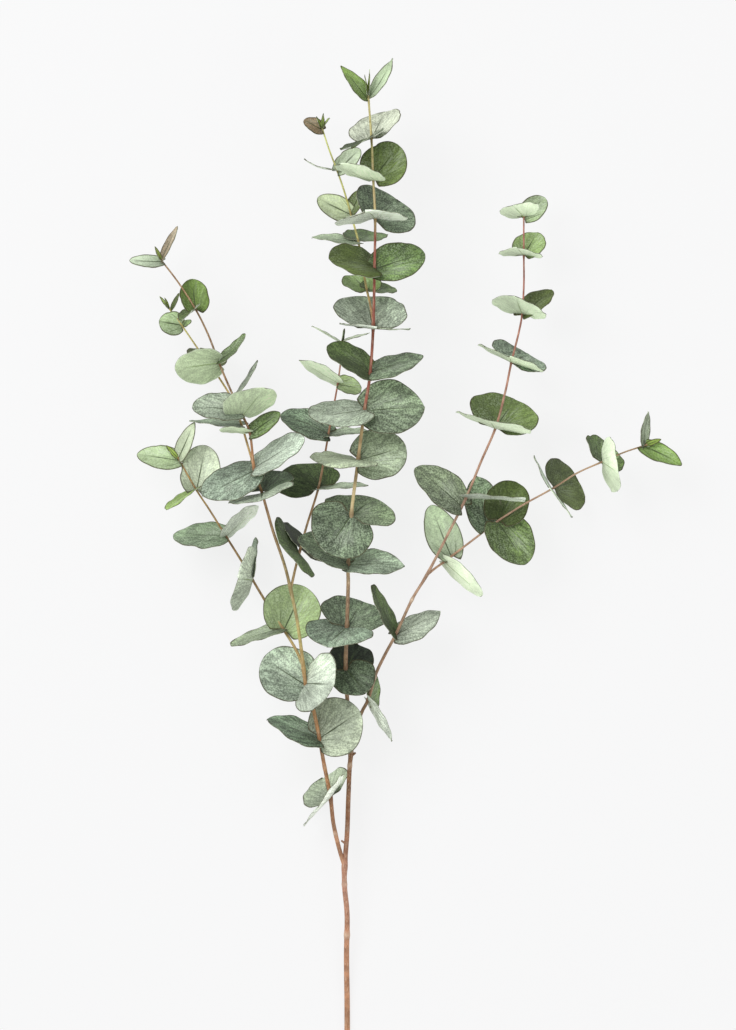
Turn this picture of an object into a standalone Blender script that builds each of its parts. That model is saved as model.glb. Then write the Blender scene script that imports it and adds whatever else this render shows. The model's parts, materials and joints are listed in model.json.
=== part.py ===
"""A cut branch of round-leaved eucalyptus, lying on its stem's foot and on the tips of its back leaves.

X runs across the branch, Y from the cut foot to the top, Z up. Lengths in the tables are millimetres from
the foot of the stem. Each leafy stem is one solid: its leaves are fused to it with their roots inside it.
"""

import math
import random
from collections import namedtuple

import bmesh
import bpy
from mathutils import Vector

MM = 0.001
BLADE = 0.7  # thickness of a leaf
GAP = 0.3  # clearance between a shoot and the stem that carries it
STEM_SIDES = 8
STEPS_A_STRETCH = 1  # rings of a stem for each point of its route

WIDEST = 0.42  # where a leaf is widest, as a share of its length
LOBE = 0.10  # how far the two lobes at a leaf's root reach back, as a share of its length
BROAD_ROOT, NARROW_ROOT = 0.45, 0.28  # width of the root as a share of the leaf's width
NARROW = 10  # a leaf no wider than this is a young one in a bud, without lobes
POINTED = 0.8  # from this value of point on, a leaf is lance-shaped, without lobes
RIPPLE = 0.035  # most that the rim waves, as a share of the leaf's length
NODE_STEP = 0.8  # the leaves of a pair sit this far above and below their node
LARGE = 30  # a leaf wider than this has the finer grid

LARGE_GRID = ((0, 0.22, 0.52, 0.82, 1), (-1, -0.5, 0, 0.5, 1))
SMALL_GRID = ((0, 0.3, 0.65, 1), (-1, 0, 1))

LEAF_GREEN = (0.17, 0.25, 0.17, 1)
BARK_BROWN = (0.42, 0.22, 0.13, 1)

Stem = namedtuple("Stem", "parent foot_radius tip_radius route")
Stub = namedtuple("Stub", "stem height reach radius")
Leaf = namedtuple("Leaf", "height reach facing width fold cup point", defaults=(8, 0.0, 0.1))

STEMS = {
    "main_stem": Stem(None, 2.5, 0.9, (
        (0, 0, 2.3), (0, 34, 2.3), (-0.5, 74, 7), (0, 107, 12), (-2, 130, 16), (-2, 147, 18.5),
        (0, 174, 22.5), (1, 202, 27), (2, 226, 32), (3, 242, 35), (1, 270, 41), (-1, 306, 48),
        (0, 341, 54), (1, 374, 59), (1, 390, 61.5), (3.5, 430, 67), (9, 474, 71), (14, 513, 73.5),
        (18.5, 542, 75), (21, 580, 76), (22, 626, 76), (22.5, 665, 76), (21, 697, 75),
        (19.5, 730, 74), (17, 764, 73.5))),
    "left_stem": Stem("main_stem", 1.9, 0.7, (
        (-2, 147, 18.5), (-6.5, 162, 21.5), (-11, 182, 25.5), (-13.5, 204, 30.5), (-18.5, 230, 36),
        (-22, 250, 40), (-27, 274, 44), (-33, 294, 48), (-36, 318, 51), (-40, 346, 54),
        (-45, 370, 56), (-50, 390, 57.5), (-58.5, 415, 60), (-64, 434, 61.5), (-68, 448, 63),
        (-74, 466, 64), (-77.5, 495, 64), (-85.5, 513, 63), (-94.5, 533, 62.5), (-102.5, 552, 61),
        (-111, 574, 59), (-121, 594, 57), (-134.5, 615, 53.5), (-149, 634, 50.5))),
    "outer_left_shoot": Stem("left_stem", 1.35, 0.7, (
        (-34.5, 307, 49.5), (-41, 322, 45.5), (-51, 338, 40), (-64, 358, 35), (-76, 378, 33.5),
        (-85.5, 394, 33.5), (-98, 414, 34.5), (-110.5, 434, 35), (-121, 450, 36), (-136, 476, 36))),
    "twin_left_shoot": Stem("left_stem", 1.05, 0.65, (
        (-74.5, 469, 64), (-79, 484, 54), (-84.5, 502, 46), (-92, 522, 41), (-101.5, 538, 39.5),
        (-111, 551, 39.5), (-121, 565, 39.5), (-132, 581, 39.5), (-142.5, 595, 39.5))),
    "inner_left_shoot": Stem("left_stem", 1.2, 0.65, (
        (-45, 370, 56), (-41.5, 386, 49.5), (-37.5, 402, 43), (-32, 422, 37.5), (-23, 451, 33.5),
        (-18.5, 474, 32), (-15, 494, 31), (-10.5, 518, 30.5), (-7.5, 535, 30.5), (-5, 554, 30.5),
        (-4, 569, 30.5))),
    "back_top_shoot": Stem("main_stem", 1.1, 0.65, (
        (21, 583, 76), (18.5, 598, 68), (16, 609, 60.5), (12, 630, 49.5), (9, 649, 41.5),
        (3, 671, 36.5), (-2.5, 690, 35), (-8, 706, 35), (-14.5, 723, 35), (-20, 740, 35))),
    "right_stem": Stem("main_stem", 1.6, 0.7, (
        (3, 240, 35), (7, 258, 37.5), (12, 272, 39), (17, 282, 40), (23, 302, 42.5), (30.5, 318, 45.5),
        (39, 334, 49), (52, 362, 53.5), (64, 382, 56), (80, 413, 57.5), (95, 443, 58.5),
        (107, 472, 58.5), (119, 500, 57.5), (126.5, 528, 56), (131.5, 552, 54.5), (137, 574, 53),
        (140, 590, 52), (141.5, 614, 49.5), (141.5, 637, 48), (141.5, 669, 45.5))),
    "right_side_shoot": Stem("right_stem", 1.05, 0.65, (
        (64.5, 382, 56), (70.5, 387, 53.5), (77.5, 392, 51), (92, 403, 49), (106.5, 414, 47.5),
        (121, 425, 46), (141.5, 438, 43.5), (165, 451, 41), (184, 463, 39.5), (204, 472, 39),
        (222.5, 480, 38), (241, 486, 38))),
}

# What is left of twigs that were cut off.
STUBS = (
    Stub("main_stem", 165, (-4, 3, 2), 0.9),
    Stub("main_stem", 236, (4, 3, 1), 1.0),
    Stub("left_stem", 376, (-5, 18, 5), 0.6),
)

# A leaf: the height of its root on the stem; where its tip is from there (right, up, towards the viewer); the
# way its upper face looks; its width; then how far it is folded (degrees), cupped, and drawn to a point.
LEAVES = {
    "main_stem": (
        Leaf(761, (-22, 27, 6), (0.6, 0.35, 0.6), 19, 10, 0, 0.9),
        Leaf(761, (19, 32, -3), (-0.7, 0.35, 0.55), 18, 8, -0.05, 0.9),
        Leaf(762, (-3, 19, 3), (0.9, 0.1, 0.3), 5, 10, 0, 0.9),
        Leaf(762, (1, 22, 0), (-0.9, 0.1, 0.3), 4, 10, 0, 0.9),
        Leaf(730, (11, 23, -29), (-0.41, 0.76, 0.5), 46, 12),
        Leaf(730, (-16, -10, 29), (-0.42, 0.9, 0.05), 38, 10),
        Leaf(697, (-26, 12, 22), (0.36, 0.89, -0.26), 42, 8, -0.04),
        Leaf(697, (20, 27, -10), (0, 0.3, 0.95), 37, 10, -0.06),
        Leaf(665, (17, 18, -33), (0.46, 0.65, 0.6), 56, 10),
        Leaf(665, (-8, 4, 35), (0.05, 0.9, -0.45), 59, -12, 0.05),
        Leaf(626, (40, 13, -8), (0.03, 0.4, 0.9), 33, 8, 0.03),
        Leaf(626, (-36, 6, 16), (0.41, 0.75, 0.5), 44, 8, 0.03),
        Leaf(580, (-6, 25, -32), (0.12, 0.86, 0.5), 61, 10),
        Leaf(577, (3, 0, 34), (0.05, 0.95, -0.3), 58, 4),
        Leaf(542, (-34, 23, 0), (0.47, 0.75, 0.47), 43, 8, 0.03),
        Leaf(542, (42, 14, -4), (-0.2, 0.84, 0.5), 38, 0, 0, 0.5),
        Leaf(513, (48, 3, -5), (-0.1, 0.55, 0.8), 53, 6, 0.03, 0.5),
        Leaf(513, (-44, -5, 16), (0.1, 0.9, 0.42), 50, 0, -0.03, 0.3),
        Leaf(474, (38, 11, -6), (-0.05, 0.45, 0.88), 46, 0, 0, 0.2),
        Leaf(473, (-28, -4, 30), (0.1, 0.98, 0.18), 60, 2, 0.02),
        Leaf(430, (18, 14, -30), (0.14, 0.88, 0.5), 60, -4),
        Leaf(429, (-20, -30, 14), (0.3, 0.4, 0.87), 54, 4, 0.02),
        Leaf(390, (45, 0, 3), (0, 0.9, 0.43), 43, 6, 0.03, 0.6),
        Leaf(390, (-40, 21, -5), (0.35, 0.79, 0.5), 48, 8, 0.03, 0.2),
        Leaf(341, (12, 20, -30), (0.13, 0.82, 0.55), 54, 10),
        Leaf(339, (-16, -15, 30), (-0.03, 0.85, 0.5), 59, 8, 0.02, 0.4),
        Leaf(306, (10, 20, -26), (0.1, 0.85, 0.5), 38, 10),
        Leaf(306, (16, -19, 18), (-0.1, 0.62, 0.72), 37, 10),
    ),
    "left_stem": (
        Leaf(204, (-6, 14, -30.5), (-0.5, 0.5, 0.65), 46, 10),
        Leaf(202, (-10, -7, 29), (-0.66, 0.7, -0.33), 55, 6, 0, 0.4),
        Leaf(250, (-42, 17, 5), (0.35, 0.85, 0.4), 43, 0, 0.02, 0.5),
        Leaf(250, (32, 22, 12), (-0.2, 0.2, 0.96), 50, 10, -0.05),
        Leaf(294, (-34, 22, -6), (0.1, 0.25, 0.96), 47, 6, -0.03),
        Leaf(294, (23, 0, 32), (-0.8, 0.43, 0.42), 53, 6),
        Leaf(448, (0, -6, 34), (-0.33, 0.9, 0.28), 56, 6),
        Leaf(448, (12, 16, -26), (-0.2, 0.85, 0.45), 44),
        Leaf(466, (-41, -21, 10), (-0.2, 0.75, 0.63), 45, 0, 0, 0.2),
        Leaf(466, (40, 25, 3), (-0.5, 0.75, 0.42), 45, 2),
        Leaf(495, (24, 17, 2), (-0.35, 0.45, 0.82), 18, 6),
        Leaf(495, (-24, 2, 3), (-0.1, 0.97, -0.2), 19, 6, 0, 0.3),
        Leaf(513, (-38, 4, 3), (-0.15, 0.8, 0.58), 38, 8, 0.02, 0.2),
        Leaf(508, (18, 22, 22), (-0.42, 0.72, -0.5), 50, 8, 0, 0.3),
        Leaf(552, (-35, -5, 2), (0.1, 0.62, -0.78), 34, -6),
        Leaf(552, (22, 21, 5), (-0.65, 0.7, 0.3), 26, 8, -0.08, 0.3),
        Leaf(594, (-3, 25, -8), (0.3, 0.1, 0.95), 25, 10, -0.05),
        Leaf(594, (-10, -10, 16), (-0.5, 0.8, 0.3), 22, 25, 0, 0.5),
        Leaf(633, (-26, 1, 2), (0, 0.6, 0.8), 13, 4, -0.02),
        Leaf(633, (13, 27, -3), (-0.8, 0.35, 0.5), 13),
        Leaf(633, (-6, 12, 2), (0.6, 0.3, 0.5), 5, 10, 0, 0.9),
    ),
    "outer_left_shoot": (
        Leaf(338, (16, 35, -2), (-0.1, 0.1, 0.98), 48, 8, -0.04),
        Leaf(338, (-42, -13, -6), (-0.25, 0.9, 0.3), 35, 4, 0.02, 0.4),
        Leaf(378, (-11, 2, 27), (-0.9, 0.25, -0.17), 56, 10, 0, 0.4),
        Leaf(378, (1, 31, -33), (-0.9, 0.1, 0.4), 30, 8, 0, 0.3),
        Leaf(414, (-42, 0, -8), (-0.15, 0.85, 0.5), 40, 0, 0, 0.2),
        Leaf(412, (26, 24, 0), (-0.66, 0.69, -0.3), 35, 8, 0, 0.3),
        Leaf(450, (7, 36, -8), (0.2, 0.2, 0.95), 34, 8, -0.03),
        Leaf(450, (-23, -17, 14), (-0.45, 0.9, 0.15), 26, 6, 0.02, 0.3),
        Leaf(474, (-34, 5, -3), (0.05, 0.5, 0.86), 22, 8, 0, 0.4),
        Leaf(474, (13, 29, 0), (-0.5, 0.3, 0.8), 16, 10, 0, 0.7),
        Leaf(475, (-10, 11, 3), (0.5, 0.5, 0.7), 6, 10, 0, 0.5),
    ),
    "twin_left_shoot": (
        Leaf(502, (-42, 4, -6), (0.1, 0.97, 0.22), 35, 4, 0, 0.5),
        Leaf(521, (20, 32, -10), (-0.85, 0.45, 0.2), 21, 10, -0.06, 0.6),
        Leaf(551, (-8, 13, -27), (0.3, 0.85, 0.4), 34, 8, 0, 0.3),
        Leaf(581, (-18, 3, 3), (-0.1, 0.2, 0.97), 20),
        Leaf(581, (3, 6, -12), (-0.3, 0.7, 0.5), 12),
        Leaf(594, (-8, 10, 2), (0.6, 0.6, 0.5), 5, 10, 0, 0.6),
        Leaf(594, (7, 14, 2), (-0.7, 0.4, 0.5), 7, 10, 0, 0.2),
        Leaf(594, (-4, 9, 4), (0.7, 0.3, 0.5), 3.5, 10, 0, 0.6),
    ),
    "inner_left_shoot": (
        Leaf(568, (-24, 14, 3), (0.5, 0.85, 0.1), 16, 10, 0, 0.6),
        Leaf(568, (22, 7, -2), (-0.3, 0.95, 0.1), 14, 8, 0, 0.6),
        Leaf(568, (2, 12, 0), (0.9, 0.1, 0.4), 5, 14, 0, 0.3),
        Leaf(535, (-31, 18, 2), (0.42, 0.8, -0.42), 24, 8, 0, 0.6),
        Leaf(535, (19, -3, -6), (0.05, 0.75, 0.6), 24, 10),
        Leaf(494, (-38, 16, -3), (0.35, 0.75, 0.55), 42, 4, 0.02, 0.2),
        Leaf(494, (32, 2, 5), (-0.05, 0.98, 0.2), 37, 8, 0.02, 0.2),
        Leaf(451, (-22, 18, -22), (0.1, 0.7, 0.68), 58, -4, 0, 0.2),
        Leaf(451, (40, 3, 11), (-0.1, 0.98, 0.12), 35, 6, 0, 0.2),
        Leaf(402, (3, 9, -29), (0.6, 0.5, 0.85), 48),
        Leaf(400, (-15, 7, 27), (0.7, 0.62, 0.35), 61, 6, 0, 0.3),
    ),
    "back_top_shoot": (
        Leaf(739, (-15, 8, 2), (0.3, 0.5, 0.8), 15),
        Leaf(739, (6, 8, 3), (-0.8, 0.5, 0.2), 10, 10),
        Leaf(739, (-5, 11, 0), (0.5, 0.4, 0.6), 4, 10, 0, 0.9),
        Leaf(739, (1, 12, 0), (-0.5, 0.4, 0.6), 4, 10, 0, 0.9),
        Leaf(706, (18, 18, 0), (-0.4, 0.5, 0.76), 20, 6, 0, 0.2),
        Leaf(706, (-26, 8, 6), (0.25, 0.95, 0.08), 19, 6, -0.1, 0.4),
        Leaf(671, (-27, 13, 2), (0.1, 0.3, 0.95), 21, 6),
        Leaf(671, (10, 20, -5), (-0.5, 0.3, 0.8), 15, 10, 0, 0.2),
        Leaf(649, (-37, 4, 3), (0, 0.97, 0.25), 28, 4, 0, 0),
        Leaf(649, (14, 8, -41), (0, 0.8, 0.5), 36),
        Leaf(609, (-12, 13, -21), (0.2, 0.75, 0.6), 34, 10, 0, 0.2),
        Leaf(609, (22, 2, -16), (0.1, 0.9, 0.35), 30, 8, 0, 0.2),
    ),
    "right_stem": (
        Leaf(282, (19, -33, 2), (0.84, 0.5, -0.3), 27, 8, 0, 0.6),
        Leaf(282, (6, 18, -27), (0.85, 0, 0.45), 32, 8, 0, 0.3),
        Leaf(334, (36, 19, -2), (-0.4, 0.72, 0.5), 40, -6, 0, 0.3),
        Leaf(334, (-19, 39, 6), (0.8, 0.3, 0.25), 34, 6, -0.04, 0.6),
        Leaf(437, (-37, 31, -2), (0.45, 0.6, 0.65), 42, 6, 0.02),
        Leaf(443, (47, -2, 9), (0.1, 0.98, -0.15), 28, 6, 0, 0.5),
        Leaf(500, (16, 23, -30), (0.2, 0.75, 0.6), 57),
        Leaf(498, (-5, 6, 34), (0.34, 0.88, -0.4), 64, 6, 0, 0.3),
        Leaf(552, (14, 8, -31), (0.38, 0.8, 0.42), 50),
        Leaf(551, (-2, 4, 32), (0.39, 0.85, -0.25), 56, 4, 0, 0.4),
        Leaf(590, (24, 21, -14), (-0.5, 0.5, 0.7), 27, 10, 0, 0.2),
        Leaf(590, (-6, 13, 26), (0.35, 0.8, -0.45), 46, -6, 0, 0.3),
        Leaf(638, (11, 19, -14), (-0.2, 0.45, 0.85), 27, 10),
        Leaf(637, (-6, 5, 21), (0.2, 0.9, -0.5), 36, -10),
        Leaf(668, (17, 17, -9), (-0.1, 0.4, 0.85), 21),
        Leaf(668, (-9, 8, 18), (0.15, 0.7, -0.75), 33),
        Leaf(668, (0, 10, 2), (0.3, 0.3, 0.9), 6, 14, 0, 0.3),
    ),
    "right_side_shoot": (
        Leaf(397, (-16, 41, -15), (0.3, 0.15, 0.93), 30, 8, -0.03, 0.3),
        Leaf(392, (30, -27, 6), (0.5, 0.6, -0.5), 24, 8, 0, 0.5),
        Leaf(419, (-8, 42, -22), (0.05, 0.35, 0.93), 30, 8, 0, 0.4),
        Leaf(425, (15, 30, -18), (0.05, 0.5, 0.85), 37),
        Leaf(425, (23, -34, 8), (0.3, 0.4, 0.85), 42, 10, 0, 0.2),
        Leaf(451, (20, 6, -40.5), (0.75, 0.5, 0.55), 48),
        Leaf(451, (-3, 1, 32), (0.84, 0.5, -0.52), 58, 4, 0, 0.4),
        Leaf(472, (12, -9, 22), (0.85, 0.3, -0.6), 48, 8, 0, 0.2),
        Leaf(472, (5, 16, -25), (0.7, 0.58, 0.5), 40, 10, 0, 0.2),
        Leaf(485, (3, 27, 2), (0.8, 0.1, 0.5), 14, 8, -0.06, 0.3),
        Leaf(485, (31, -15, 2), (0.3, 0.5, 0.8), 20, 8, 0.04, 0.78),
        Leaf(485, (13, 5, 2), (0.1, 0.6, 0.7), 6, 12, 0, 0.5),
    ),
}


def smooth_route(points, steps):
    """Points of a smooth curve through the given ones, with steps to each stretch."""
    knots = [Vector(point) for point in points]
    knots = [2 * knots[0] - knots[1], *knots, 2 * knots[-1] - knots[-2]]
    route = []
    for before, start, end, after in zip(knots, knots[1:], knots[2:], knots[3:]):
        for step in range(steps):
            t = step / steps
            bend = (2 * before - 5 * start + 4 * end - after) * t**2
            twist = (3 * start - before - 3 * end + after) * t**3
            route.append((2 * start + (end - before) * t + bend + twist) / 2)
    return [*route, knots[-2]]


def at_height(route, height):
    """The route's point at this height, and its direction there."""
    for start, end in zip(route, route[1:]):
        if height <= end.y:
            break
    t = (height - start.y) / (end.y - start.y)
    return start.lerp(end, t), (end - start).normalized()


def solid(name, points, faces, look):
    """An object from points in millimetres, with the bark's or the leaf's material on every face."""
    mesh = bpy.data.meshes.new(name)
    mesh.from_pydata([point * MM for point in points], [], faces)
    for material in (LOOKS["leaf"], LOOKS["bark"]):
        mesh.materials.append(material)
    mesh.polygons.foreach_set("material_index", [("leaf", "bark").index(look)] * len(faces))
    made = bpy.data.objects.new(name, mesh)
    bpy.context.scene.collection.objects.link(made)
    return made


def tube(name, centres, radii):
    """A closed tube with a flat side below and flat ends."""
    points, faces = [], []
    turn = math.tau / STEM_SIDES
    for i, (centre, radius) in enumerate(zip(centres, radii)):
        along = (centres[min(i + 1, len(centres) - 1)] - centres[max(i - 1, 0)]).normalized()
        side = along.cross(Vector((0, 0, 1))).normalized()
        up = side.cross(along)
        for k in range(STEM_SIDES):
            angle = (k + 0.5) * turn
            points.append(centre + radius * (math.cos(angle) * side + math.sin(angle) * up))
    for i in range(len(centres) - 1):
        for k in range(STEM_SIDES):
            a, b = i * STEM_SIDES + k, i * STEM_SIDES + (k + 1) % STEM_SIDES
            faces.append((a, a + STEM_SIDES, b + STEM_SIDES, b))
    faces.append(tuple(range(STEM_SIDES)))
    faces.append(tuple(reversed(range(len(points) - STEM_SIDES, len(points)))))
    return solid(name, points, faces, "bark")


def stem_tube(name, extra=0.0):
    """The stem along its route, thinner towards its tip; extra widens it."""
    stem = STEMS[name]
    route = smooth_route(stem.route, STEPS_A_STRETCH)
    slope = (stem.tip_radius - stem.foot_radius) / (len(route) - 1)
    return tube(name, route, [stem.foot_radius + slope * i + extra for i in range(len(route))])


def half_width(u, leaf):
    """The leaf's half width at u of its length, as a share of its greatest half width."""
    if u < WIDEST:
        root = NARROW_ROOT if lobeless(leaf) else BROAD_ROOT
        return math.sqrt(1 - (1 - u / WIDEST) ** 2 * (1 - root**2))
    t = (u - WIDEST) / (1 - WIDEST)
    return (1 - t ** (2 - 0.5 * leaf.point)) ** (1 / (2 - 0.9 * leaf.point))


def lobeless(leaf):
    return leaf.width <= NARROW or leaf.point > POINTED


def leaf_sheet(leaf, root, grid, draw):
    """Rows of points over the leaf's middle surface, from its root to its tip."""
    reach = Vector(leaf.reach)
    length, along = reach.length, reach.normalized()
    up = Vector(leaf.facing)
    up = (up - up.dot(along) * along).normalized()
    across = along.cross(up)
    lobe = 0 if lobeless(leaf) else LOBE
    fold = math.radians(leaf.fold)
    ripple, phase = RIPPLE * draw.uniform(0.3, 1) * length, draw.uniform(0, math.tau)
    rows = []
    for u in grid[0]:
        row = []
        for v in grid[1]:
            side = leaf.width / 2 * half_width(u, leaf) * v
            forward = length * (u - lobe * (1 - u) ** 2 * math.sin(math.pi / 2 * v) ** 2)
            rise = abs(side) * math.sin(fold) + leaf.cup * length * 4 * u * (1 - u)
            rise += ripple * v**2 * u * math.sin(math.tau * u + phase + v)
            row.append(root + forward * along + side * math.cos(fold) * across + rise * up)
        rows.append(row)
    return rows


def sheet_normals(rows):
    """The way the sheet looks at each of its points, from the points round it; the tip takes the last row's."""
    normals = []
    for i in range(len(rows) - 1):
        ahead, behind = rows[i + 1], rows[max(i - 1, 0)]
        row = []
        for j in range(len(rows[i])):
            right, left = rows[i][min(j + 1, len(rows[i]) - 1)], rows[i][max(j - 1, 0)]
            row.append((right - left).cross(ahead[j] - behind[j]).normalized())
        normals.append(row)
    return [*normals, normals[-1]]


def leaf_blade(name, leaf, root, draw):
    """One leaf as a thin closed solid, split into the same triangles on both faces."""
    grid = LARGE_GRID if leaf.width > LARGE else SMALL_GRID
    rows = leaf_sheet(leaf, root, grid, draw)
    normals = sheet_normals(rows)
    last, columns = len(rows) - 1, len(grid[1])
    points, faces, index = [], [], {}
    for face, offset in ((0, BLADE / 2), (1, -BLADE / 2)):
        for i, row in enumerate(rows):
            for j, point in enumerate(row):
                if i == last and j:
                    index[face, i, j] = index[face, i, 0]
                    continue
                index[face, i, j] = len(points)
                middle = columns // 2 if i == last else j
                points.append(point + offset * normals[i][middle])
    for i in range(last):
        for j in range(columns - 1):
            corners = ((i, j), (i, j + 1), (i + 1, j + 1), (i + 1, j))
            a, b, c, d = (index[0, m, n] for m, n in corners)
            faces += [(a, b, c), (a, c, d)]
            a, b, c, d = (index[1, m, n] for m, n in corners)
            faces += [(a, c, b), (a, d, c)]
    rim = [(0, j) for j in range(columns)] + [(i, columns - 1) for i in range(1, last + 1)]
    rim += [(i, 0) for i in range(last - 1, -1, -1)]
    for here, there in zip(rim, rim[1:]):
        a, b, c, d = index[0, *here], index[1, *here], index[1, *there], index[0, *there]
        faces += [(a, b, c), (a, c, d)]
    return solid(name, points, [face for face in faces if len(set(face)) == 3], "leaf")


def leaves_of(name):
    """The blades of one stem; the leaves of a pair sit just above and just below their node."""
    draw = random.Random(name)
    route = smooth_route(STEMS[name].route, STEPS_A_STRETCH)
    blades = []
    for number, leaf in enumerate(LEAVES[name]):
        root, direction = at_height(route, leaf.height)
        root += NODE_STEP * (1 if number % 2 else -1) * direction
        blades.append(leaf_blade(f"{name}_leaf", leaf, root, draw))
    return blades


def stubs_of(name):
    route = smooth_route(STEMS[name].route, STEPS_A_STRETCH)
    made = []
    for stub in STUBS:
        if stub.stem == name:
            root = at_height(route, stub.height)[0]
            made.append(tube("stub", [root, root + Vector(stub.reach)], [stub.radius] * 2))
    return made


def combine(target, others, operation):
    """Joins the other objects to the target, or cuts them from it, and removes them."""
    group = bpy.data.collections.new("joined")
    for other in others:
        group.objects.link(other)
    modifier = target.modifiers.new("combine", "BOOLEAN")
    modifier.operation = operation
    modifier.operand_type = "COLLECTION"
    modifier.collection = group
    modifier.solver = "EXACT"
    bpy.context.view_layer.objects.active = target
    bpy.ops.object.modifier_apply(modifier=modifier.name)
    for other in others:
        bpy.data.objects.remove(other)
    bpy.data.collections.remove(group)


def keep_outer_skin(target):
    """Removes the closed hollows and loose scraps that fusing leaves."""
    mesh = bmesh.new()
    mesh.from_mesh(target.data)
    islands, seen = [], set()
    for start in mesh.verts:
        if start in seen:
            continue
        island, waiting = {start}, [start]
        while waiting:
            for edge in waiting.pop().link_edges:
                for vert in edge.verts:
                    if vert not in island:
                        island.add(vert)
                        waiting.append(vert)
        seen |= island
        islands.append(island)
    outer = max(islands, key=len)
    bmesh.ops.delete(mesh, geom=[v for island in islands if island is not outer for v in island])
    bmesh.ops.triangulate(mesh, faces=mesh.faces)
    mesh.to_mesh(target.data)
    mesh.free()


def leafy_stem(name):
    stem = stem_tube(name)
    parent = STEMS[name].parent
    if parent:
        combine(stem, [stem_tube(parent, GAP)], "DIFFERENCE")
    combine(stem, leaves_of(name) + stubs_of(name), "UNION")
    keep_outer_skin(stem)
    return stem


def look(name, colour, roughness):
    material = bpy.data.materials.new(name)
    material.use_nodes = True
    shader = material.node_tree.nodes["Principled BSDF"]
    shader.inputs["Base Color"].default_value = colour
    shader.inputs["Roughness"].default_value = roughness
    return material


def centre_on_origin(nodes):
    """Moves the branch so that the origin is below the middle of its box, with its lowest point at zero."""
    points = [vertex.co for node in nodes for vertex in node.data.vertices]
    low = Vector(min(point[k] for point in points) for k in range(3))
    high = Vector(max(point[k] for point in points) for k in range(3))
    shift = Vector((-(low.x + high.x) / 2, -(low.y + high.y) / 2, -low.z))
    for node in nodes:
        for vertex in node.data.vertices:
            vertex.co += shift


def clear_scene():
    for thing in list(bpy.data.objects):
        bpy.data.objects.remove(thing)


clear_scene()
LOOKS = {"leaf": look("leaf", LEAF_GREEN, 0.55), "bark": look("bark", BARK_BROWN, 0.6)}
centre_on_origin([leafy_stem(name) for name in STEMS])
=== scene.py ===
"""Dresses a cut branch of round-leaved eucalyptus that lies on a pale table, seen from above.

The leafy stems of the frame are replaced, one by one, with bark and leaves of the same form: each leaf is a
copy of one blank blade, shaped by the same values as the solid that it stands for, with veins, waves and rim.
"""

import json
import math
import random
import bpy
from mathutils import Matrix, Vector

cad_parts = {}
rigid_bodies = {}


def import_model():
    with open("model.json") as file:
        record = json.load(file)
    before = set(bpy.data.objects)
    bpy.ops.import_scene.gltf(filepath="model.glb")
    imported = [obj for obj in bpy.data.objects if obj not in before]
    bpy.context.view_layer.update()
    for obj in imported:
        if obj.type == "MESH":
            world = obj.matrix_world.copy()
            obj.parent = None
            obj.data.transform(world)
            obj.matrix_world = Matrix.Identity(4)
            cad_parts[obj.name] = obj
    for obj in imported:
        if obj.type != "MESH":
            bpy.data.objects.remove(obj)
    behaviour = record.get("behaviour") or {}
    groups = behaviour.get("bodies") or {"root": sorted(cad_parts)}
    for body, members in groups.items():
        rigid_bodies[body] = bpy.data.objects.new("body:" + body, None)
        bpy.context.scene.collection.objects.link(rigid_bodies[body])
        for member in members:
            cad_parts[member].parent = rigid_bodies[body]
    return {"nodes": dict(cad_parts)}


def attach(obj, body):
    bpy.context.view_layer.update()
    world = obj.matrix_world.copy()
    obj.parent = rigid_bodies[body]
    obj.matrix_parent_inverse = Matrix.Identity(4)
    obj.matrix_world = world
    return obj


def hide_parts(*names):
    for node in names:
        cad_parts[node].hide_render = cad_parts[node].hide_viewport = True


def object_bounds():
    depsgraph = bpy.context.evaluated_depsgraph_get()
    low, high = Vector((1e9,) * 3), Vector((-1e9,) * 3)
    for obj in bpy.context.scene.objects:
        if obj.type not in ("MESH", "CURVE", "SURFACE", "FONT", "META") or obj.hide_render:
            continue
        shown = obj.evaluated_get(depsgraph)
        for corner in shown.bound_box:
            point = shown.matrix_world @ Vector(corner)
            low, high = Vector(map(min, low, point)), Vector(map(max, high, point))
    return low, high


bl_info = {
    "name": "Eucalyptus Branch",
    "version": (1, 0, 0),
    "blender": (4, 5, 0),
    "location": "View3D > Sidebar > Branch",
    "description": "Builds the bark and leaves of a eucalyptus branch round its solids, and a small studio",
    "category": "Add Mesh",
}

from collections import namedtuple

import bpy
import numpy as np
from bpy.props import FloatProperty, FloatVectorProperty, IntProperty, PointerProperty, StringProperty
from mathutils import Vector

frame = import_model()
CAD_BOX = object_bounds()

MM = 0.001
HALF_BLADE = 0.25 * MM  # no leaf's middle comes nearer to the table than this

# The shapes of the leaves, as in the part's source.
WIDEST = 0.42  # where a leaf is widest, as a share of its length
LOBE = 0.10  # how far the two lobes at a leaf's root reach back, as a share of its length
BROAD_ROOT, NARROW_ROOT = 0.45, 0.28  # width of the root as a share of the leaf's width
NARROW = 10  # a leaf no wider than this is a young one in a bud, without lobes
POINTED = 0.8  # from this value of point on, a leaf is lance-shaped, without lobes
RIPPLE = 0.035  # most that the rim waves, as a share of the leaf's length
NODE_STEP = 0.8  # the leaves of a pair sit this far above and below their node

# What the leaves have beyond the solids, in millimetres or as shares.
SOFT_FOLD = 3.0  # how wide the bottom of a leaf's fold is rounded
GROOVE, GROOVE_WIDTH = 0.22, 0.7  # the midrib's groove: depth and half width
OUTLINE_WAVE = 0.035  # most that a rim runs in and out, as a share of the leaf's half width
NOTCHED, NOTCH, NOTCH_LENGTH = 0.35, 0.06, 0.06  # share of leaves with a notch; its depth and length
NOTCH_FROM, NOTCH_TO = 0.35, 0.85  # where along the leaf the notch can be
FRILL, FRILL_WAVES = 0.5, 19  # how far the rim curls up and down, and how short those waves are
FRILL_WIDTH = 40  # leaves narrower than this curl less
TWIST = 0.10  # most that a leaf turns along its length, as a slope at its tip
MERGE = 0.004  # points of a leaf's pinched tip that are nearer than this become one
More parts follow.
